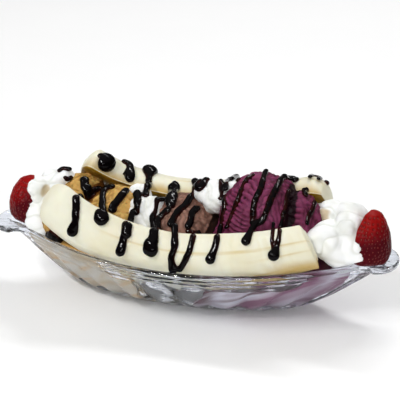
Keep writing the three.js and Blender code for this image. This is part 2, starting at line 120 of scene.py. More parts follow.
# What both strawberry halves share. The skin faces away from a point facing_from up the berry's axis, and
# seeds end seed_margin before the cut face.
BERRY = Sizes(
    levels=130, count=180, cut_swell=0.06, uneven=1.1, uneven_size=8, facing_share=0.35, facing_from=0.45,
    seed_rows=14, seed_spacing=2.5, seed_margin=0.6, seed_jitter=0.45, seed_turn_jitter=0.07,
    seed_long=0.5, seed_wide=0.28, seed_thick=0.24, seed_sunk=0.32,
    dimple_depth=0.4, dimple_width=0.7, cushion=0.2,
)
BERRIES = {
    "strawberry_left": Sizes(at=(-95.5, -1, 36.2), height=26, radius=12.8, settle=1, lean=8, turn=200),
    "strawberry_right": Sizes(at=(98.5, -5, 36.2), height=28.6, radius=12.6, settle=1.3, lean=2, turn=-30),
}
# Radius and height up a whole strawberry, as shares of its own.
BERRY_OUTLINE = [
    (0, 0), (0.62, 0.02), (0.9, 0.12), (1, 0.34), (0.95, 0.56), (0.76, 0.8), (0.42, 0.96), (0, 1),
]

MELT = Sizes(count=240, lid_rings=25, end_slant=0.35, end_wave=3, end_wave_size=11, ripple=0.6, ripple_size=9)
# Each pool of melt goes from its left level to its right one along its slope.
MELTS = {
    "melt_caramel": Sizes(start=-93, end=-30, levels=(33, 22), slope=(-47, -35)),
    "melt_berry": Sizes(start=18, end=90, levels=(22, 32), slope=(60, 74)),
}

# Chocolate syrup: what its strands share, and each one's width, the width of the drop at its end (0 for
# none), and the places that it passes, as a distance along the dish and an angle from straight up round a
# level line (plus is the back).
SYRUP = Sizes(line_height=20, far_off=120, raise_share=0.12, sway=0.7, voxel=0.47, steps=90, bridge=6.5,
              flatness=0.72, drop_length=2.2, drop_end=0.8, lump_depth=0.2, lump_size=3.6, swell=0.3,
              bead_swell=1.15, smoothing=3, sides=14, wave=0.2, wave_length=4)
STRANDS = [
    (7, 11, (-54, 18), (-53.5, 14), (-54, 9), (-56.5, 8)),
    (4.4, 6.6, (-46, 24), (-44, 30), (-40.5, 23), (-40.5, 17), (-41.5, 14)),
    (4.2, 8.6, (-24.5, -7), (-27, 6), (-29.5, 21), (-32.5, 38)),
    (6.6, 0, (-16.5, 26), (-14.5, 22), (-10, -6), (-10, -14)),
    (4.2, 0, (-9.5, -13), (-13, -22), (-15.5, -28), (-12.5, -44)),
    (3, 0, (-13.5, -5), (-18, -8), (-18, -18), (-18, -26), (-14.5, -42)),
    (5.4, 7.6, (-16, -30), (-12, -49), (-12.5, -55), (-12.5, -63)),
    (4.2, 0, (7.5, 8), (6.5, -1), (4.5, -2), (0.5, 5), (-2, -8), (-5, -17), (-6.5, -26), (-7, -34)),
    (4, 0, (-5, 34), (4.5, 3)),
    (3.6, 0, (5, -6), (4, -13), (3.5, -22), (2, -33)),
    (2.2, 0, (1.5, -35), (5.5, -33), (9.5, -31)),
    (3.6, 4.8, (-2.5, -36), (-0.5, -53), (-0.5, -62), (1, -73)),
    (3.2, 0, (8.5, -31), (9.5, -52), (7, -61), (3, -71)),
    (2.4, 0, (15.5, 8), (17.5, -6), (17, -9)),
    (3.3, 4.8, (20.5, -6), (21, -16), (20.5, -22), (21, -32), (22.5, -48), (19.5, -63)),
    (3, 0, (26.5, 0), (16.5, 39), (15.5, 34), (15.5, 24), (20.5, -6)),
    (2.6, 0, (35, 2), (32, -4), (30, -10), (29, -17), (27, -24), (25.5, -28), (24, -32)),
    (3.3, 0, (40, 8), (41, -11), (40, -19), (39.5, -27), (39.5, -33)),
    (3.4, 4.8, (50, 13), (49.5, -6), (47, -18), (44.5, -27), (40.5, -33), (37.5, -48)),
    (2.5, 5.8, (55, -3), (54.5, -12), (54, -21), (54.5, -26), (55.5, -42), (53, -56)),
    (2, 0, (50.5, -29), (52.5, -43), (52.5, -50)),
    (3.6, 0, (50.5, 6), (51, 24), (56, 16)),
    (3, 0, (68.5, 3), (68, -7), (67.5, -16), (67, -20)),
    (3.6, 0, (62.5, 10), (63, -2)),
    (2.4, 0, (63.5, 14), (63, 27), (67.5, 26), (68, 15)),
    (4.2, 0, (72, 23), (72.5, 24)),
    (4, 5.8, (-62, -13), (-56, -35), (-56, -41), (-56.5, -47), (-58.5, -55)),
    (5.2, 0, (-62.5, 2), (-60.5, -6), (-58, -9), (-55.5, -11)),
    (3.6, 0, (-52.5, 3), (-55, -1), (-55.5, -7), (-56, -10)),
    (3.8, 7.6, (-44.5, 3), (-48.5, 0), (-49.5, -6), (-48.5, -16), (-47.5, -23), (-42.5, -39), (-41, -46)),
    (4.2, 0, (-37.5, 4), (-39, -8), (-40.5, -19), (-41, -27)),
    (3.2, 0, (-77.5, -1), (-75.5, 4), (-70.5, 4)),
    (3, 0, (-69.5, 3), (-73.5, -4)),
    (4.2, 5, (-32, 1), (-28.5, -14), (-28, -21), (-29.5, -25), (-27.5, -47), (-28, -53), (-29.5, -65)),
    (6, 0, (-25.5, -41), (-27, -46), (-28, -52)),
    (9, 11, (-76, -46), (-69.5, -57)),
]

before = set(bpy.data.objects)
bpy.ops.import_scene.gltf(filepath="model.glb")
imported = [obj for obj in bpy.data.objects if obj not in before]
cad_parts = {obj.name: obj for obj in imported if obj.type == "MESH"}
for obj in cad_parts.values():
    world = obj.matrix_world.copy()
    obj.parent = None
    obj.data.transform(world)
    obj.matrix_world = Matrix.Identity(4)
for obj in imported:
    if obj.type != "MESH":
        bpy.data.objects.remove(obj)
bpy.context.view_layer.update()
scene = bpy.context.scene


# ------------ noise and curves
def lattice(cell, seed):
    """A fixed value from -1 to 1 for each whole-numbered cell."""
    x, y, z = (cell[..., k].astype(np.int64) for k in range(3))
    hashed = (x * 374761393 + y * 668265263 + z * 1274126177 + seed * 974634777) & 0x7FFFFFFF
    hashed = ((hashed ^ (hashed >> 13)) * 1274126177) & 0x7FFFFFFF
    return (hashed ^ (hashed >> 16)) / 0x3FFFFFFF - 1


def noise(points, size, seed=0):
    """Smooth noise from -1 to 1. size is the size of its grains, one number or one for each axis."""
    at = points / np.asarray(size, float) + 0.37 * seed
    cell = np.floor(at)
    part = at - cell
    part = part * part * (3 - 2 * part)
    total = 0
    for corner in np.ndindex(2, 2, 2):
        share = np.prod(np.where(corner, part, 1 - part), axis=-1)
        total = total + share * lattice(cell + corner, seed)
    return total


def layered(points, size, seed=0, layers=3):
    """Noise with layers of it added, each of half the size and strength of the one before."""
    size = np.asarray(size, float)
    total = sum(noise(points, size / 2**k, seed + k) / 2**k for k in range(layers))
    return total / (2 - 2 ** (1 - layers))


def warped(points, reach, size, seed):
    """The points, each moved up to reach along each axis by noise."""
    return points + reach * np.stack([noise(points, size, seed + k) for k in range(3)], -1)


def blend(low, high, share):
    return low + (high - low) * share


def smoothstep(value, low, high):
    """A smooth step from 0 at low to 1 at high."""
    share = np.clip((value - low) / (high - low), 0, 1)
    return share * share * (3 - 2 * share)


def unit(vectors):
    return vectors / np.maximum(np.linalg.norm(vectors, axis=-1, keepdims=True), 1e-9)


def catmull_rom(a, b, c, d, t):
    """The point t of the way from b to c on the smooth curve that also passes a and d."""
    return 0.5 * (2 * b + (c - a) * t + (2 * a - 5 * b + 4 * c - d) * t**2 + (3 * b - a - 3 * c + d) * t**3)


def circle(count):
    """Angles spaced evenly over a full turn."""
    return np.linspace(0, TURN, count, endpoint=False)


def turned(radii, heights, count):
    """Rings of an upright round body, from its radius at each height."""
    turns = circle(count)
    radii, heights = radii[:, None], heights[:, None]
    return np.stack([radii * np.cos(turns), radii * np.sin(turns), heights + 0 * turns], -1)


# ------------ meshes
def add_mesh(name, points, faces):
    """A new smooth piece in the scene."""
    mesh = bpy.data.meshes.new(name)
    mesh.from_pydata((np.asarray(points) * MM).tolist(), [], faces)
    mesh.shade_smooth()
    piece = bpy.data.objects.new(name, mesh)
    scene.collection.objects.link(piece)
    return piece


def skin(rings):
    """Points and faces of a closed body through rings of points, with its first and last ring each
    drawn together into one point."""
    levels, count, _ = rings.shape
    inner = rings[1:-1].reshape(-1, 3)
    points = np.vstack([inner, rings[0].mean(0), rings[-1].mean(0)])
    level, place = np.meshgrid(np.arange(levels - 3), np.arange(count), indexing="ij")
    here = level * count + place
    after = level * count + (place + 1) % count
    faces = np.stack([here, after, after + count, here + count], -1).reshape(-1, 4).tolist()
    first, last = len(inner), len(inner) + 1
    top = (levels - 3) * count
    for n in range(count):
        after = (n + 1) % count
        faces.append([first, after, n])
        faces.append([last, top + n, top + after])
    corners = [points[[face[k] for face in faces]] for k in range(3)]
    if np.einsum("ij,ij->", corners[0], np.cross(corners[1], corners[2])) < 0:
        faces = [face[::-1] for face in faces]
    return points, faces


def with_ends(rings, first, last):
    """The rings between a point before them and a point after them."""
    return np.concatenate([rings[:1] * 0 + first, rings, rings[:1] * 0 + last])


def joined(skins):
    """The points and faces of several skins as those of one."""
    points, faces = [], []
    for body_points, body_faces in skins:
        start = sum(len(part) for part in points)
        points.append(body_points)
        faces += [[start + n for n in face] for face in body_faces]
    return np.vstack(points), faces


def modified(piece, kind, **settings):
    """The piece with a modifier applied."""
    modifier = piece.modifiers.new(kind, kind)
    for key, value in settings.items():
        setattr(modifier, key, value)
    graph = bpy.context.evaluated_depsgraph_get()
    mesh = bpy.data.meshes.new_from_object(piece.evaluated_get(graph))
    piece.modifiers.clear()
    piece.data = mesh
    mesh.shade_smooth()
    return piece


def melted_together(name, skins, voxel, smoothing):
    """A piece made of overlapping skins that have run into one."""
    piece = add_mesh(name, *joined(skins))
    modified(piece, "REMESH", mode="VOXEL", voxel_size=voxel * MM, adaptivity=0)
    return modified(piece, "SMOOTH", factor=0.5, iterations=smoothing)


def read(collection, field, width):
    """A field of all of a mesh's points, as rows of width numbers."""
    values = np.empty(len(collection) * width, np.float32)
    collection.foreach_get(field, values)
    return values.reshape(-1, width).astype(float)


def points_of(piece):
    return read(piece.data.vertices, "co", 3) / MM


def normals_of(piece):
    return read(piece.data.vertex_normals, "vector", 3)


def stamp(piece, name, values):
    """Keeps a number for each point, for the piece's material."""
    piece.data.attributes.new(name, "FLOAT", "POINT").data.foreach_set("value", values.astype(np.float32))


# ------------ glass dish
def dish_half_sizes(height):
    """Half-length, half-width and pointedness of the outer wall at a height, without its flutes."""
    rise = np.clip(height / DISH.height, 0, 1)
    half_length = blend(DISH.foot_length, DISH.bowl_length, rise**DISH.flare_long) / 2
    half_width = blend(DISH.foot_width, DISH.bowl_width, rise**DISH.flare_wide) / 2
    return half_length, half_width, blend(1, DISH.rim_point, rise**0.8)


def oval(turns, height, inset_long, inset_wide):
    """A level ring of the wall at a height, drawn in from the outer wall by the insets."""
    half_length, half_width, pointed = dish_half_sizes(height)
    x = (half_length - inset_long) * np.cos(turns)
    y = (half_width - inset_wide) * np.sign(np.sin(turns)) * np.abs(np.sin(turns)) ** pointed
    return np.stack([x, y, np.full_like(x, height)], -1)


def lug(turns, height):
    """How far the wall's two ends swell out at a height, to carry the tabs."""
    return DISH.lug * smoothstep(height, DISH.lug_from, DISH.height) * np.cos(turns) ** DISH.lug_spread


def outside_rings(turns):
    """The fluted wall from the middle of its underside up to the lip."""
    underside = oval(turns, 0, DISH.foot_edge, DISH.foot_edge)
    rings = [underside * (0, 0, 1), underside]
    heights = [0.35, 1, *np.linspace(2, 25, 26), *np.linspace(25.4, DISH.height - DISH.lip, 21)]
    for height in heights:
        strength = smoothstep(height, 0, DISH.flute_full_from)
        strength *= 1 - smoothstep(height, DISH.flute_full_to, DISH.height - DISH.rim_band)
        scallop = np.sqrt(np.sin(turns * DISH.flutes / 2) ** 2 + DISH.flute_softness)
        inset = -DISH.flute_depth * strength * (scallop - 0.5)
        stepped = RIM_STEPS.depth * smoothstep(height, RIM_STEPS.start, RIM_STEPS.full_from)
        inset += stepped * math.sin(TURN * height / RIM_STEPS.pitch)
        foot = max(0, DISH.foot_edge - height)
        rings.append(oval(turns, height, inset + foot - lug(turns, height), inset + foot))
    return rings


def lip_rings(turns):
    """The rounded lip, from the outside over to the inside."""
    rings = []
    for share in np.linspace(0, 1, 15)[1:-1]:
        rise = (1 - abs(2 * share - 1) ** DISH.lip_squareness) ** (1 / DISH.lip_squareness)
        height = DISH.height - DISH.lip * (1 - rise)
        swelling = lug(turns, height)
        rings.append(oval(turns, height, share * (DISH.end_wall + swelling) - swelling, share * DISH.wall))
    return rings


def inside_rings(turns, top, into_wall=0.0):
    """The smooth inside, from the height top down to the middle of its floor."""
    rings = []
    wall_foot = DISH.floor + DISH.floor_round
    bend = np.sin(np.linspace(0.2, math.pi / 2, 6))
    for height in [*np.linspace(top, wall_foot, 24), *(DISH.floor + DISH.floor_round * (1 - bend))]:
        low = np.clip((wall_foot - height) / DISH.floor_round, 0, 1)
        narrow = DISH.floor_round * (1 - math.sqrt(1 - low**2)) - into_wall
        rings.append(oval(turns, height, DISH.end_wall + narrow, DISH.wall + narrow))
    rings.append(rings[-1] * (0, 0, 1))
    return rings


def tab_skin(side):
    """An end tab: a plate swept round its outline, with a round outer edge, whose root is in the wall."""
    d = DISH
    middle = d.tab_reach - d.tab_half_length
    root_turns = np.linspace(-d.tab_root, d.tab_root, 61)
    root = oval(root_turns, d.height, d.end_wall / 2, d.wall / 2)[:, :2]
    turns = np.linspace(-0.5, 0.5, 41) * math.pi
    arc = np.stack([middle + d.tab_half_length * np.cos(turns), d.tab_half_width * np.sin(turns)], -1)
    t = np.linspace(0, 1, 12)[1:, None]
    neck = np.array([[root[0, 0], -d.tab_neck], [middle - 5, -d.tab_neck]])
    start = (1 - t) ** 2 * neck[0] + 2 * t * (1 - t) * neck[1] + t**2 * arc[0]
    edge = np.vstack([[root[0]], start, arc[1:-1], start[::-1] * (1, -1), [root[-1]]])
    along = np.linspace(0, 1, len(edge))
    inner = np.stack([np.interp(along, np.linspace(0, 1, len(root)), root[:, k]) for k in (0, 1)], -1)
    half = d.tab_thickness / 2
    rings = []
    for outer_point, inner_point in zip(edge, inner):
        reach = outer_point - inner_point
        length = max(np.linalg.norm(reach), 1e-3)
        ahead = reach / length
        rounding = min(half, length)
        top = [((length - rounding) * share, half) for share in (0, 0.25, 0.5, 0.75)]
        bend = np.linspace(math.pi / 2, -math.pi / 2, 9)
        end = [(length - rounding * (1 - math.cos(a)), half * math.sin(a)) for a in bend]
        ring = []
        for out, up in top + end + [(out, -up) for out, up in top[::-1]]:
            lift = d.tab_rise * smoothstep(out, 0, d.tab_rise_over)
            ring.append((*(inner_point + ahead * out), d.height - half + lift + up))
        rings.append(ring)
    rings = with_ends(np.array(rings), np.mean(rings[0], 0), np.mean(rings[-1], 0))
    return skin(rings * (side, 1, 1))


def make_dish():
    """The glass boat with both its end tabs."""
    turns = circle(DISH.flutes * 14)
    rings = outside_rings(turns) + lip_rings(turns) + inside_rings(turns, DISH.height - DISH.lip)
    piece = add_mesh("glass_dish", *skin(np.array(rings)))
    for side in (-1, 1):
        tab = add_mesh("tab", *tab_skin(side))
        modified(piece, "BOOLEAN", operation="UNION", solver="MANIFOLD", object=tab)
        bpy.data.objects.remove(tab)
    piece.data.set_sharp_from_angle(angle=math.radians(50))
    return piece


def room_in_dish(x, height, over_rim=0):
    """How far food may reach at a height: along the dish, and across it at x."""
    half_length, half_width, pointed = dish_half_sizes(height)
    half_length = half_length - DISH.end_wall + INTO_GLASS + over_rim
    half_width = half_width - DISH.wall + INTO_GLASS + over_rim
    along = np.clip(np.abs(x) / half_length, 0, 0.999)
    return half_length, half_width * (1 - along**2) ** (pointed / 2)


def pressed_into_dish(points):
    """Keeps food inside the dish: it stops just inside the glass, and widens again over the rim."""
    height = np.maximum(points[:, 2], DISH.floor)
    over_rim = np.clip(height - DISH.height + 0.5, 0, None) * 2
    half_length, room = room_in_dish(points[:, 0], height, over_rim)
    x = np.clip(points[:, 0], -half_length, half_length)
    return np.stack([x, np.clip(points[:, 1], -room, room), np.maximum(points[:, 2], DISH.floor - 0.2)], -1)


def raise_skin(piece, height):
    """Moves each point out of the piece by its height, keeps it in the dish, and returns the points."""
    points = pressed_into_dish(points_of(piece) + normals_of(piece) * height[:, None])
    piece.data.vertices.foreach_set("co", (points * MM).astype(np.float32).ravel())
    piece.data.update()
    return points


# ------------ melt in the dish
def make_melt(name, melt):
    """A pool of melt that fills the dish's inside between its two ends, under its own level."""
    top_level = max(melt.levels)
    rings = inside_rings(circle(MELT.count), top_level, INTO_GLASS)
    lid = [rings[0] * (share, share, 1) for share in np.linspace(0, 1, MELT.lid_rings + 1)[:-1]]
    rings = np.array(lid + rings)
    # These are views, so what is put into them is put into the rings.
    x, y, z = np.moveaxis(rings, -1, 0)
    for limit, keep in ((melt.start, np.maximum), (melt.end, np.minimum)):
        slant = -np.sign(limit) * (top_level - z) * MELT.end_slant
        wave = MELT.end_wave * noise(rings * (0, 1, 1), MELT.end_wave_size, seed=3)
        x[:] = keep(x, limit + slant + wave)
    level = blend(*melt.levels, smoothstep(x, *melt.slope))
    level = level + MELT.ripple * layered(rings * (1, 1, 0), MELT.ripple_size, seed=5)
    sunk = z > level
    z[:] = np.minimum(z, level)
    _, room = room_in_dish(x, z)
    y[:] = np.where(sunk, np.clip(y, -room, room), y)
    piece = add_mesh(name + "_pool", *skin(rings))
    stamp(piece, "lid", normals_of(piece)[:, 2] > 0.5)
    return piece


# ------------ banana halves
def spline(route, count):
    """Points evenly spaced on a smooth curve through the route, its direction at each, and its length."""
    route = np.array(route, float)
    ends = [2 * route[0] - route[1]], [2 * route[-1] - route[-2]]
    knots = np.vstack([ends[0], route, ends[1]])
    fine = []
    for a, b, c, d in zip(knots, knots[1:], knots[2:], knots[3:]):
        t = np.linspace(0, 1, 60, endpoint=False)[:, None]
        fine.append(catmull_rom(a, b, c, d, t))
    fine = np.vstack([*fine, route[-1:]])
    lengths = np.concatenate([[0], np.cumsum(np.linalg.norm(np.diff(fine, axis=0), axis=1))])
    at = np.linspace(0, lengths[-1], count)
    spots = np.stack([np.interp(at, lengths, fine[:, k]) for k in range(3)], -1)
    headings = np.gradient(spots, axis=0)
    return spots, unit(headings), lengths[-1]


def make_banana(name, half):
    """Half a banana: rings along its middle line, and its lines, fibres and colours from its ripeness."""
    levels, count = BANANA.levels, BANANA.count
    spots, headings, length = spline(half.route, levels)
    tilt = math.radians(half.face_tilt)
    upright = np.array([0, half.side * math.sin(tilt), math.cos(tilt)])
    across = unit(upright - headings * headings[:, 2:] * math.cos(tilt))
    out = np.cross(across, headings)
    out *= np.sign(out[:, 1:2]) * half.side
    along_length = np.linspace(0, length, levels)
    near_start = 1 - np.clip(along_length / half.round_start, 0, 1)
    near_end = 1 - np.clip((length - along_length) / half.round_end, 0, 1)
    slimming = smoothstep(along_length / length, BANANA.slim_from, 1)
    taper = blend(1, half.end_size, slimming)
    taper *= np.sqrt(1 - BANANA.start_taper * near_start**2) * np.sqrt(1 - BANANA.end_taper * near_end**2)
    turns = circle(count) + 0.02
    rounded = np.sin(turns)
    corners = 1 + BANANA.corner_height * np.cos(BANANA.corners * turns + 0.6)
    wide = BANANA.half_width * np.cos(turns) * corners
    deep = np.where(rounded > 0, BANANA.bulge * rounded * corners, BANANA.face_crown * rounded)
    for _ in range(3):
        wide = (np.roll(wide, 1) + 2 * wide + np.roll(wide, -1)) / 4
        deep = (np.roll(deep, 1) + 2 * deep + np.roll(deep, -1)) / 4
    section = wide[:, None] * across[:, None] + deep[:, None] * out[:, None]
    rings = spots[:, None] + taper[:, None, None] * section
    slant = half.end_slant * slimming * taper
    rings += headings[:, None] * slant[:, None, None] * deep[:, None]
    caps = []
    for n, way in ((0, -1), (-1, 1)):
        middle = rings[n].mean(0)
        shares = np.linspace(1, 0, BANANA.cap_rings + 1)[1:, None, None]
        swelling = way * headings[n] * BANANA.cap_depth * np.sqrt(1 - shares**2)
        caps.append(middle + (rings[n] - middle) * shares + swelling)
    rings = np.concatenate([caps[0][::-1], rings, caps[1]])
    piece = add_mesh(name + "_flesh", *skin(rings))
    points = points_of(piece)
    around, along, on_side = np.zeros((3, len(points)))
    first = (BANANA.cap_rings - 1) * count
    side_points = slice(first, first + levels * count)
    around[side_points] = np.tile(turns, levels)
    along[side_points] = np.repeat(along_length, count)
    on_side[side_points] = 1
    rounded_side = on_side * (np.sin(around) > 0.02)
    wander = BANANA.line_wander * layered(points, BANANA.line_wander_size, half.seed + 7)
    ridge = 0
    for at, strength, start in half.ridges:
        beside = (around - at + wander) / BANANA.line_width
        started = smoothstep(along, start - BANANA.line_start, start + BANANA.line_start)
        ridge = ridge + strength * started * np.exp(-(beside**2))
    ridge = rounded_side * np.clip(ridge * (0.75 + 0.5 * noise(points, 13, half.seed + 8)), 0, 1)
    laid_flat = np.stack([along, 0 * along, 9 * around], -1)
    ripe = smoothstep(along, half.ripe_from - BANANA.ripe_before, half.ripe_from + BANANA.ripe_after)
    cross = ripe * smoothstep(noise(laid_flat, BANANA.fibre_size, half.seed + 5), 0.1, 0.7)
    edge = around + BANANA.edge_wander * layered(points, BANANA.edge_wander_size, half.seed + 6)
    # Partly the flesh's own gold, partly painted shade along the edge beside the shaded cut face.
    gold_edge_and_shade = ripe * smoothstep(edge, *half.gold_from) * (1 - 0.6 * ridge)
    stamp(piece, "ridge", ridge)
    stamp(piece, "fibre", rounded_side * cross)
    stamp(piece, "gold", rounded_side * gold_edge_and_shade)
    # Painted shade: the cut face is painted dark gold to olive, fully on the back half, whose cut face lies
    # in shade; partly this is the flesh's own wet gold.
    stamp(piece, "face", half.face_gold * on_side * (np.sin(around) < -0.02))
    lumps = BANANA.lump_height * layered(points, BANANA.lump_size, half.seed)
    lumps += BANANA.grain_height * noise(points, BANANA.grain_size, half.seed + 4)
    lumps = lumps - BANANA.line_depth * ridge - BANANA.fibre_depth * cross
    raise_skin(piece, lumps)
    return piece


# ------------ ice cream
def ball_skin(x, y, z, radius, tall=1):
    """A ball, stretched upwards by tall."""
    angles = np.linspace(-math.pi / 2, math.pi / 2, 40)
    return skin(turned(np.cos(angles), np.sin(angles) * tall, 60) * radius + (x, y, z))


def make_scoop(name, lumps, seed, finish, neighbours):
    """A scoop whose skin is torn into ribs and flakes where the scoop dragged over it."""
    balls = [ball_skin(*lump) for lump in lumps]
    piece = melted_together(name + "_ice", balls, SCOOP.voxel, SCOOP.smoothing)
    points = points_of(piece)
    warp = warped(points, SCOOP.warp, SCOOP.warp_size, seed + 2)
    torn = smoothstep(noise(points, SCOOP.patch, seed + 20) + finish.torn, -0.15, 0.35)
    rib_number = (warp[:, 2] + SCOOP.rib_lean * warp[:, 0]) / finish.rib_pitch
    ribs = np.abs(np.sin(math.pi * rib_number)) ** 0.8
    breaks = smoothstep(noise(warp, SCOOP.break_size, seed + 6), -0.5, 0.1)
    drags = np.abs(layered(warp, SCOOP.drag_size, seed + 30, 2))
    pits = smoothstep(noise(points, SCOOP.pit_size, seed + 12), 0.45, 0.8)
    rib_height = torn * breaks * (ribs - 0.6)
    height = SCOOP.bulge_height * layered(points, SCOOP.bulge_size, seed, 2) + finish.rib_depth * rib_height
    height += finish.drag_depth * (1 - torn) * (drags - 0.3) - SCOOP.pit_depth * torn * pits
    height += SCOOP.fine_height * noise(points, SCOOP.fine_size, seed + 9)
    meeting = np.zeros(len(points))
    for *middle, radius, tall in neighbours:
        beyond = np.linalg.norm((points - middle) / (1, 1, tall), axis=1) - radius
        beyond += SCOOP.crease_wander * noise(points, SCOOP.crease_wander_size, seed + 40)
        meeting = np.maximum(meeting, smoothstep(beyond, finish.crease, 0))
    height -= SCOOP.crease_depth * meeting
    # Painted light and shade: above zero it is painted shade in pits, drag grooves and the crease round a
    # neighbouring scoop, where it is partly syrup pooled there too; below zero it is a painted highlight on
    # rib tops and raised drag marks.
    light_and_shade_map = torn * (0.6 * pits - 1.1 * rib_height) + (1 - torn) * (0.5 - 1.6 * drags) + 3 * meeting
    stamp(piece, "painted_light_and_shade", light_and_shade_map)
    raise_skin(piece, height)
    return piece


# ------------ whipped cream
def make_cream(name, lumps, seed, tan_patch):
    """Whipped cream in billows and folds, tinted tan near a given place."""
    balls = [ball_skin(*lump) for lump in lumps]
    piece = melted_together(name + "_swirl", balls, CREAM.voxel, CREAM.smoothing)
    points = points_of(piece)
    warp = warped(points, CREAM.warp, CREAM.warp_size, seed + 31)
    billow = np.abs(noise(warp, CREAM.billow_size, seed)) ** 0.8
    folds = np.abs(noise(warp, CREAM.fold_size, seed + 8))
    fine = np.abs(noise(warp, CREAM.fine_size, seed + 15))
    height = CREAM.billow_height * billow + CREAM.fold_height * folds + CREAM.fine_height * fine - CREAM.sunk
    # Painted shade: the creases between billows and in the folds, to be painted darker.
    stamp(piece, "crease", np.maximum(smoothstep(billow, 0.25, 0), 0.7 * smoothstep(folds, 0.22, 0)))
    raise_skin(piece, height)
    modified(piece, "SMOOTH", factor=0.5, iterations=2)
    *middle, reach = tan_patch
    away = np.linalg.norm(points_of(piece) - middle, axis=1) + noise(points_of(piece), 3, seed + 4)
    # Tints the cream tan near the given place.
    stamp(piece, "tan_patch", smoothstep(away, reach, 0.5 * reach))
    return piece


# ------------ strawberries
def seed_places(berry, radii, heights):
    """Where the seeds sit on a strawberry half, in staggered rows, a little unevenly."""
    seeds = []
    for row in range(1, BERRY.seed_rows):
        height = berry.height * (row / BERRY.seed_rows)
        radius = np.interp(height, heights, radii)
        number = max(5, round(TURN * radius / BERRY.seed_spacing))
        for n in range(number):
            angle = TURN * (n + 0.5 * (row % 2)) / number
            angle += BERRY.seed_turn_jitter * math.sin(7.3 * n + 2.1 * row)
            lift = BERRY.seed_jitter * math.sin(5.1 * n + 3.7 * row)
            seeds.append((radius * math.cos(angle), radius * math.sin(angle), height + lift))
    return np.array([s for s in seeds if s[0] > BERRY.seed_margin])


def seed_skin(middle, out):
    """A seed, longest up the skin that it sits in, which faces out."""
    side = unit(np.cross((0, 0, 1), out))
    up = np.cross(out, side)
    heights = np.linspace(-math.pi / 2, math.pi / 2, 6)[:, None, None]
    turns = circle(8)[:, None]
    section = side * BERRY.seed_wide * np.cos(turns) + out * BERRY.seed_thick * np.sin(turns)
    long = up * BERRY.seed_long * np.sin(heights)
    return skin(middle - out * BERRY.seed_sunk + long + np.cos(heights) * section)


def make_strawberry(name, berry, seed):
    """Half a strawberry with seeds in dimples: its flesh, and its seeds as a second piece."""
    outline = np.array(BERRY_OUTLINE) ** (1, berry.settle)
    spots, _, _ = spline(np.column_stack([outline, outline[:, 0] * 0]), BERRY.levels)
    radii, heights = np.clip(spots[:, 0], 0, None) * berry.radius, spots[:, 1] * berry.height
    radii[0] = radii[-1] = 0
    rings = turned(radii, heights, BERRY.count)
    turn, lean = math.radians(berry.turn), math.radians(berry.lean)

    def facing(points):
        middle = (0, 0, BERRY.facing_share * berry.height * BERRY.facing_from)
        return unit(points * (1, 1, BERRY.facing_share) - middle)

    def bumps(points):
        return BERRY.uneven * layered(points, BERRY.uneven_size, seed, 2)

    def placed(points):
        """The points on the dish, after the half that is cut away is pressed nearly flat."""
        points = np.where(points[..., :1] < 0, points * (BERRY.cut_swell, 1, 1), points)
        x, y, z = (points[..., k] for k in range(3))
        x, y = x * math.cos(turn) - y * math.sin(turn), x * math.sin(turn) + y * math.cos(turn)
        x, z = x * math.cos(lean) + z * math.sin(lean), z * math.cos(lean) - x * math.sin(lean)
        return np.stack([x, y, z], -1) + berry.at

    seeds = seed_places(berry, radii, heights)
    flat = rings.reshape(-1, 3)
    away = np.full(len(flat), 9.0)
    for s in seeds:
        away = np.minimum(away, np.linalg.norm(flat - s, axis=1))
    dimple = -BERRY.dimple_depth * np.exp(-((away / BERRY.dimple_width) ** 2))
    dimple += BERRY.cushion * smoothstep(away, 0.6, 1.3)
    off_axis = np.hypot(flat[:, 0], flat[:, 1]) > 0.01
    shaped = flat + facing(flat) * ((dimple + bumps(flat)) * off_axis)[:, None]
    body = add_mesh(name + "_flesh", *skin(placed(shaped).reshape(rings.shape)))
    # Painted shade: kept here so the skin is painted darker in the dimples round the seeds.
    near_seed = smoothstep(away, 0.2, 1.2)[BERRY.count:-BERRY.count]
    stamp(body, "depth", np.concatenate([near_seed, [1, 1]]))
    # Painted light: kept here so the berry is painted lighter red on its upper left side, where the light
    # falls.
    lit_from = (-0.5, 0.1, 1)
    stamp(body, "lit_side", smoothstep(points_of(body) @ lit_from - np.dot(berry.at, lit_from), 8, 26))
    grains = []
    for s, out in zip(seeds, facing(seeds)):
        points, faces = seed_skin(s + out * bumps(s), out)
        grains.append((placed(points), faces))
    return body, add_mesh(name + "_seeds", *joined(grains))


# ------------ chocolate syrup
def surface_of(pieces):
    """One search tree over the pieces' faces, in millimetres."""
    skins = [(points_of(piece), [tuple(face.vertices) for face in piece.data.polygons]) for piece in pieces]
    points, faces = joined(skins)
    return BVHTree.FromPolygons(points.tolist(), faces)


def eased(values, reach):
    """A running mean, by which a strand passes over small dips and edges."""
    kernel = np.hanning(2 * reach + 3)[1:-1]
    padded = np.pad(values, [(reach, reach)] + [(0, 0)] * (values.ndim - 1), mode="edge")
    return np.apply_along_axis(np.convolve, 0, padded, kernel / kernel.sum(), mode="valid")


def on_spline(places, share):
    """Points of the smooth curve through the places, at shares of the way from the first to the last."""
    knots = np.array([places[0], *places, places[-1]], float)
    at = np.asarray(share) * (len(places) - 1)
    first = np.minimum(at.astype(int), len(places) - 2)
    t = (at - first)[:, None]
    a, b, c, d = (knots[first + k] for k in range(4))
    return catmull_rom(a, b, c, d, t)


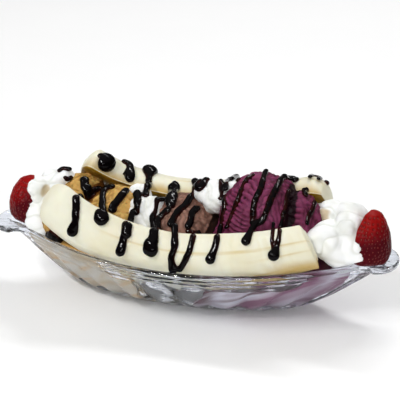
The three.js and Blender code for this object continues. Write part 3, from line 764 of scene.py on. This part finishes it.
def strand_course(strand, surface, seed):
    """Points of a strand on the food under it, and the way that the food faces at each."""
    width, _, *places = strand
    share = np.linspace(0, 1, SYRUP.steps)
    route = on_spline(places, share)
    x = route[:, 0] + SYRUP.sway * np.sin(6 * share + 2.3 * seed) * np.sin(math.pi * share)
    angles = np.radians(route[:, 1])
    away = np.stack([0 * angles, np.sin(angles), np.cos(angles)], -1)
    line = np.stack([x, 0 * x, 0 * x + SYRUP.line_height], -1)
    reach, facing = [], []
    for foot, way in zip(line, away):
        hit, normal, _, _ = surface.ray_cast(Vector(foot + way * SYRUP.far_off), Vector(-way))
        reach.append((np.array(hit) - foot) @ way)
        facing.append(normal)
    reach = np.array(reach)
    run = np.abs(reach).mean() * np.ptp(angles) + np.ptp(x)
    window = int(SYRUP.steps * SYRUP.bridge / (run + SYRUP.bridge)) + 1
    near = [slice(max(0, n - window), n + window + 1) for n in range(SYRUP.steps)]
    high = np.array([reach[part].max() for part in near])
    bridged = np.array([high[part].min() for part in near])
    points = line + away * (eased(bridged, 3) + SYRUP.raise_share * width)[:, None]
    return points, unit(eased(unit(np.array(facing)), 5))


def strand_skin(points, facing, width, bead, seed):
    """A strand: a flattened tube that lies on the food, and swells into a drop at its end."""
    steps = np.linalg.norm(np.diff(points, axis=0), axis=1)
    passed = np.concatenate([[0], np.cumsum(steps)])
    left = passed[-1] - passed
    laid_out = np.stack([passed / SYRUP.wave_length, 0 * passed + seed, 0 * passed], -1)
    radii = width / 2 * (1 + SYRUP.wave * noise(laid_out, 1, seed))
    if bead:
        beyond_drop = np.clip((left / (bead / 2) - SYRUP.drop_end) / SYRUP.drop_length, 0, 1)
        swell = np.cos(math.pi / 2 * beyond_drop) ** 2
        radii = np.maximum(radii, blend(radii, bead / 2, swell))
    for distance in (left, passed):
        near_tip = (1 - distance / np.maximum(radii, 0.1)).clip(0)
        radii = radii * np.sqrt(np.clip(1 - near_tip**2, 0.02, 1))
    ahead = unit(np.gradient(points, axis=0))
    side = unit(np.cross(ahead, facing))
    up = np.cross(side, ahead)
    turns = circle(SYRUP.sides)[:, None]
    section = side[:, None] * np.cos(turns) + SYRUP.flatness * up[:, None] * np.sin(turns)
    rings = points[:, None] + radii[:, None, None] * section
    return skin(with_ends(rings, points[0], points[-1]))


def make_syrup(surface):
    """All the syrup as one piece, which keeps for each point how far it is from the food under it."""
    skins = []
    for seed, strand in enumerate(STRANDS):
        points, facing = strand_course(strand, surface, seed)
        width, bead = strand[:2]
        skins.append(strand_skin(points, facing, width + SYRUP.swell, bead * SYRUP.bead_swell, seed))
    piece = melted_together("chocolate_syrup", skins, SYRUP.voxel, SYRUP.smoothing)
    points = raise_skin(piece, SYRUP.lump_depth * layered(points_of(piece), SYRUP.lump_size, 4, 2))
    thickness = [surface.find_nearest(point)[3] for point in points.tolist()]
    stamp(piece, "thickness", np.array(thickness))
    return piece


# ------------ materials
def node(tree, kind, inputs=None, **settings):
    """A new shader node, its inputs given by name or number as a value or a socket to link."""
    made = tree.nodes.new(kind)
    for key, value in settings.items():
        setattr(made, key, value)
    for key, value in (inputs or {}).items():
        if isinstance(value, bpy.types.NodeSocket):
            tree.links.new(value, made.inputs[key])
        else:
            made.inputs[key].default_value = value
    return made


def new_look(name, **settings):
    """A new material, its node tree, and its shader with the given settings."""
    made = bpy.data.materials.new(name)
    made.use_nodes = True
    shader = made.node_tree.nodes["Principled BSDF"]
    for key, value in settings.items():
        shader.inputs[key.replace("_", " ")].default_value = value
    return made, made.node_tree, shader


def linear(red, green, blue):
    """A colour given as it looks on screen, from 0 to 255, as the shader's linear colour."""
    channels = [c / 255 for c in (red, green, blue)]
    return (*[c / 12.92 if c <= 0.04045 else ((c + 0.055) / 1.055) ** 2.4 for c in channels], 1)


def object_place(tree):
    return node(tree, "ShaderNodeTexCoord").outputs["Object"]


def grain(tree, size, detail=4, stretch=(1, 1, 1), place=None, **others):
    """Noise of a size in millimetres, from 0 to 1, in the object's own space."""
    place = place or object_place(tree)
    stretched = node(tree, "ShaderNodeMapping", {"Vector": place, "Scale": stretch}).outputs[0]
    inputs = {"Vector": stretched, "Scale": 1 / (size * MM), "Detail": detail, "Roughness": 0.55, **others}
    return node(tree, "ShaderNodeTexNoise", inputs).outputs["Fac"]


def ramp(tree, value, low, high):
    """A value as a share from 0 at low to 1 at high."""
    inputs = {"Value": value, "From Min": low, "From Max": high}
    return node(tree, "ShaderNodeMapRange", inputs, clamp=True).outputs["Result"]


def mixed(tree, share, first, second):
    """The colour that is share of the way from the first to the second."""
    return node(tree, "ShaderNodeMix", {0: share, 6: first, 7: second}, data_type="RGBA").outputs[2]


def calc(tree, operation, first, second):
    return node(tree, "ShaderNodeMath", {0: first, 1: second}, operation=operation).outputs[0]


def stamped(tree, name, share=1):
    """What stamp() kept for each point, times share."""
    kept = node(tree, "ShaderNodeAttribute", attribute_name=name).outputs["Fac"]
    return kept if share == 1 else calc(tree, "MULTIPLY", kept, share)


def surfaced(look, colour, height, depth):
    """The look's material, with its colour and with bumps of a depth in millimetres."""
    made, tree, shader = look
    if colour:
        tree.links.new(colour, shader.inputs["Base Color"])
    inputs = {"Height": height, "Distance": depth * MM, "Strength": 1}
    tree.links.new(node(tree, "ShaderNodeBump", inputs).outputs[0], shader.inputs["Normal"])
    return made


def marbled(tree, size, low, high):
    """Streaks from 0 to 1 that run along the dish and rise a little to its right."""
    rise = {"Vector": object_place(tree), "Rotation": (0, math.radians(22), 0)}
    place = node(tree, "ShaderNodeMapping", rise).outputs[0]
    streaks = grain(tree, size, 2, (0.16, 0.4, 1), place, Roughness=0.5, Distortion=0.6)
    return ramp(tree, streaks, low, high)


def glass_material():
    look = new_look("pressed_glass", Base_Color=linear(242, 246, 255), Roughness=0.02, IOR=1.47,
                    Transmission_Weight=1.0)
    return surfaced(look, None, grain(look[1], 8, 2, (0.5, 1, 1)), 0.5)


def flesh_material():
    look = new_look("banana_flesh", Roughness=0.42, IOR=1.4, Subsurface_Weight=0.2, Subsurface_Scale=0.002,
                    Subsurface_Radius=(1, 0.8, 0.4), Specular_IOR_Level=0.15)
    tree = look[1]
    pale, warm = linear(234, 232, 212), linear(228, 222, 194)
    line, gold = linear(202, 176, 96), linear(190, 154, 66)
    deep_gold, olive = linear(178, 138, 42), linear(120, 92, 24)
    patches = mixed(tree, ramp(tree, grain(tree, 22, 3), 0.4, 0.7), pale, warm)
    fibres = mixed(tree, stamped(tree, "fibre", 0.5), patches, warm)
    lined = mixed(tree, stamped(tree, "ridge"), fibres, line)
    # The gold edge: partly the flesh's own gold, partly painted shade beside the cut face.
    gold_edged_and_shaded = mixed(tree, stamped(tree, "gold", 0.85), lined, gold)
    # The cut face, dark gold to olive at random: partly the flesh's own wet gold, partly painted shade.
    cut_face_shade = mixed(tree, ramp(tree, grain(tree, 6, 4), 0.35, 0.65), deep_gold, olive)
    colour = mixed(tree, stamped(tree, "face"), gold_edged_and_shaded, cut_face_shade)
    return surfaced(look, colour, grain(tree, 1.2, 4, (1, 1, 0.35)), 0.12)


def ice_cream_material(name, body, light, dark):
    look = new_look(name, Roughness=0.55, IOR=1.36, Subsurface_Weight=0.15, Subsurface_Scale=0.0015,
                    Specular_IOR_Level=0.12)
    tree = look[1]
    painted_light_and_shade = stamped(tree, "painted_light_and_shade")
    patches = mixed(tree, ramp(tree, grain(tree, 8, 4), 0.35, 0.65), body, light)
    # Painted highlight on the ridge tops.
    ridge_highlight = mixed(tree, ramp(tree, painted_light_and_shade, 0.05, -0.45), patches, light)
    # Painted shade in the pits, grooves and creases.
    colour = mixed(tree, ramp(tree, painted_light_and_shade, 0.1, 0.75), ridge_highlight, dark)
    return surfaced(look, colour, grain(tree, 0.8, 5), 0.18)


def melt_material(name, body, pale, deep, lid):
    """Melt that has run together with melted cream, in streaks. Its sides are painted lighter than the lid as
    painted light, and the pale streaks are partly melted cream and partly a painted reflection of the glass's
    flutes.
    """
    look = new_look(name, Roughness=0.3, IOR=1.36)
    tree = look[1]
    # Painted light and reflection: pale streaks over a lightened body.
    first = mixed(tree, marbled(tree, 11, 0.38, 0.58), body, pale)
    second = mixed(tree, marbled(tree, 8, 0.52, 0.68), first, deep)
    return surfaced(look, mixed(tree, stamped(tree, "lid"), second, lid), grain(tree, 5, 2), 0.2)


def cream_material():
    look = new_look("whipped_cream", Roughness=0.5, IOR=1.36, Subsurface_Weight=0.3, Subsurface_Scale=0.002,
                    Subsurface_Radius=(1, 0.95, 0.85), Specular_IOR_Level=0.15)
    tree = look[1]
    white, off_white = linear(252, 253, 252), linear(246, 248, 246)
    shaded, tan_patch = linear(212, 214, 205), linear(196, 174, 132)
    fluffy = mixed(tree, ramp(tree, grain(tree, 9, 3), 0.3, 0.7), white, off_white)
    # Painted shade in the creases.
    crease_shaded = mixed(tree, stamped(tree, "crease", 0.6), fluffy, shaded)
    # Tan near the given place.
    tan_patched = mixed(tree, stamped(tree, "tan_patch", 0.8), crease_shaded, tan_patch)
    return surfaced(look, tan_patched, grain(tree, 1.4, 4), 0.1)


def strawberry_material():
    look = new_look("strawberry_skin", Roughness=0.32, IOR=1.4, Subsurface_Weight=0.05,
                    Subsurface_Scale=0.001, Subsurface_Radius=(1, 0.2, 0.1), Specular_IOR_Level=0.07)
    tree = look[1]
    deep, lit_side = linear(76, 3, 15), linear(143, 15, 14)
    # Painted light: lighter red on the upper left side, deep red away from it, partly painted shade and
    # partly the berry's own colour, with blotches at random.
    share = calc(tree, "ADD", stamped(tree, "lit_side"), calc(tree, "SUBTRACT", grain(tree, 12, 3), 0.5))
    blotches_and_lit_side = mixed(tree, ramp(tree, share, 0.1, 0.9), deep, lit_side)
    # Painted shade in the dimples round the seeds.
    dimple_shaded = mixed(tree, ramp(tree, stamped(tree, "depth"), 0.8, -0.6), blotches_and_lit_side, linear(60, 5, 12))
    return surfaced(look, dimple_shaded, grain(tree, 1.1, 3), 0.06)


def seed_material():
    made, tree, shader = new_look("strawberry_seeds", Roughness=0.4, IOR=1.4)
    colour = mixed(tree, ramp(tree, grain(tree, 4, 2), 0.4, 0.6), linear(140, 44, 22), linear(104, 20, 14))
    tree.links.new(colour, shader.inputs["Base Color"])
    return made


def syrup_material():
    look = new_look("chocolate_syrup", Roughness=0.05, IOR=1.46, Specular_IOR_Level=0.1)
    tree = look[1]
    thin = ramp(tree, calc(tree, "ADD", stamped(tree, "thickness"), grain(tree, 5, 3)), 2, 1)
    return surfaced(look, mixed(tree, thin, linear(6, 3, 4), linear(46, 13, 9)), grain(tree, 3, 2), 0.1)


def floor_material():
    made, tree, shader = new_look("pale_table", Roughness=0.6)
    colour = mixed(tree, grain(tree, 60, 3), linear(253, 253, 253), linear(255, 255, 255))
    tree.links.new(colour, shader.inputs["Base Color"])
    return made


# ------------ putting together
def finish_piece(piece, look, slot, *nodes):
    """Gives the piece its material, hangs it under the root body, and hides the model's nodes that it stands
    for.
    """
    piece.data.materials.clear()
    piece.data.materials.append(look)
    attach(piece, "root")
    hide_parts(*nodes)
    return piece


finish_piece(make_dish(), glass_material(), "glass", "dish")

# The body, pale, deep and lid colours of each melt. The sides seen through the glass get body, pale and deep,
# painted lighter than the lid's own colour as painted light; the pale streaks are partly melted cream and
# partly a painted reflection of the flutes.
melt_colours = {
    "caramel_melt": [(202, 184, 152), (216, 210, 196), (214, 178, 124), (204, 160, 88)],
    "berry_melt": [(150, 90, 122), (240, 236, 244), (98, 42, 66), (88, 32, 52)],
}
under_syrup = []
for (name, melt), (slot, colours) in zip(MELTS.items(), melt_colours.items()):
    look = melt_material(slot, *[linear(*colour) for colour in colours])
    under_syrup.append(finish_piece(make_melt(name, melt), look, slot, name))
flesh = flesh_material()
for name, half in BANANAS.items():
    under_syrup.append(finish_piece(make_banana(name, half), flesh, "banana", name))

# The body, light and dark colours of each flavour: light is for patches at random and for the painted
# highlight on ridge tops, dark is painted shade in pits, grooves and the creases between scoops.
ice_colours = {
    "caramel": [(174, 135, 67), (204, 163, 94), (108, 68, 24)],
    "chocolate": [(119, 85, 73), (152, 114, 99), (50, 32, 26)],
    "berry": [(88, 30, 54), (130, 58, 92), (26, 5, 13)],
}
ices = {}
for flavour, colours in ice_colours.items():
    ices[flavour] = ice_cream_material(flavour + "_ice", *[linear(*colour) for colour in colours])
for seed, (name, lumps) in enumerate(SCOOPS.items()):
    flavour = name.split("_")[1]
    neighbours = [lump for other in SCOOPS if other != name for lump in SCOOPS[other]]
    piece = make_scoop(name, lumps, 10 * seed + 1, FINISHES[flavour], neighbours)
    under_syrup.append(finish_piece(piece, ices[flavour], flavour + "_ice_cream", name))

cream = cream_material()
for seed, (name, lumps) in enumerate(CREAMS.items()):
    piece = make_cream(name, lumps, 7 * seed + 2, CREAM_TAN_PATCHES[name])
    under_syrup.append(finish_piece(piece, cream, "whipped_cream", name))

skin_look, seed_look = strawberry_material(), seed_material()
for seed, (name, strawberry) in enumerate(BERRIES.items()):
    body, seeds = make_strawberry(name, strawberry, seed + 3)
    finish_piece(body, skin_look, "strawberry", name)
    finish_piece(seeds, seed_look, "strawberry", name)

syrup = make_syrup(surface_of(under_syrup))
drizzled = ["melt_caramel", *BANANAS, *SCOOPS, "cream_left", "cream_mid_left", "cream_mid_right"]
finish_piece(syrup, syrup_material(), "chocolate_ice_cream", *drizzled)


# ------------ table, light and camera
def aim(thing, place, target):
    """Puts a lamp or camera in the scene at a place, turned to its target."""
    thing.location = Vector(place) * MM
    thing.rotation_euler = (Vector(target) * MM - thing.location).to_track_quat("-Z", "Y").to_euler()
    scene.collection.objects.link(thing)


def strip_light(name, place, length, width, strength):
    """A long soft box. strength is the light that falls on the dish, in W/m²."""
    light = bpy.data.lights.new(name, "AREA")
    light.shape = "RECTANGLE"
    light.size, light.size_y = length * MM, width * MM
    distance = np.linalg.norm(place) * MM
    light.energy = strength * math.pi * distance**2
    lamp = bpy.data.objects.new(name, light)
    aim(lamp, place, (0, 0, 40))
    return lamp


TABLE_REACH = 3000
corners = [(-1, -1, 0), (1, -1, 0), (1, 1, 0), (-1, 1, 0)]
table = add_mesh("table", np.array(corners) * TABLE_REACH, [[0, 1, 2, 3]])
table.data.materials.append(floor_material())

strip_light("key_light", (-700, -700, 1200), 900, 45, 1.35)
strip_light("front_light", (500, -1300, 700), 900, 35, 0.85)
strip_light("back_light", (200, 900, 1200), 1000, 70, 1.2)
# This one makes highlights alone, such as those on the wet syrup.
glint = strip_light("glint_light", (-300, -1000, 1100), 500, 160, 3)
glint.visible_diffuse = False

world = bpy.data.worlds.new("studio")
world.use_nodes = True
sky = world.node_tree
direction = node(sky, "ShaderNodeTexCoord").outputs["Generated"]
upwards = node(sky, "ShaderNodeSeparateXYZ", {"Vector": direction}).outputs["Z"]
brightness = node(sky, "ShaderNodeMapRange", {"Value": upwards, "From Min": 0.3, "From Max": 0.9,
                                              "To Min": 0.06, "To Max": 0.58}).outputs["Result"]
sky.nodes["Background"].inputs["Color"].default_value = (1, 1, 1, 1)
sky.links.new(brightness, sky.nodes["Background"].inputs["Strength"])
scene.world = world
scene.view_settings.view_transform = "Standard"

camera = bpy.data.cameras.new("camera")
camera.lens = 114.3
camera.sensor_width = 36
view = bpy.data.objects.new("camera", camera)
aim(view, (163.8, -618.9, 344.2), (4.9, 0, 58.4))
scene.camera = view
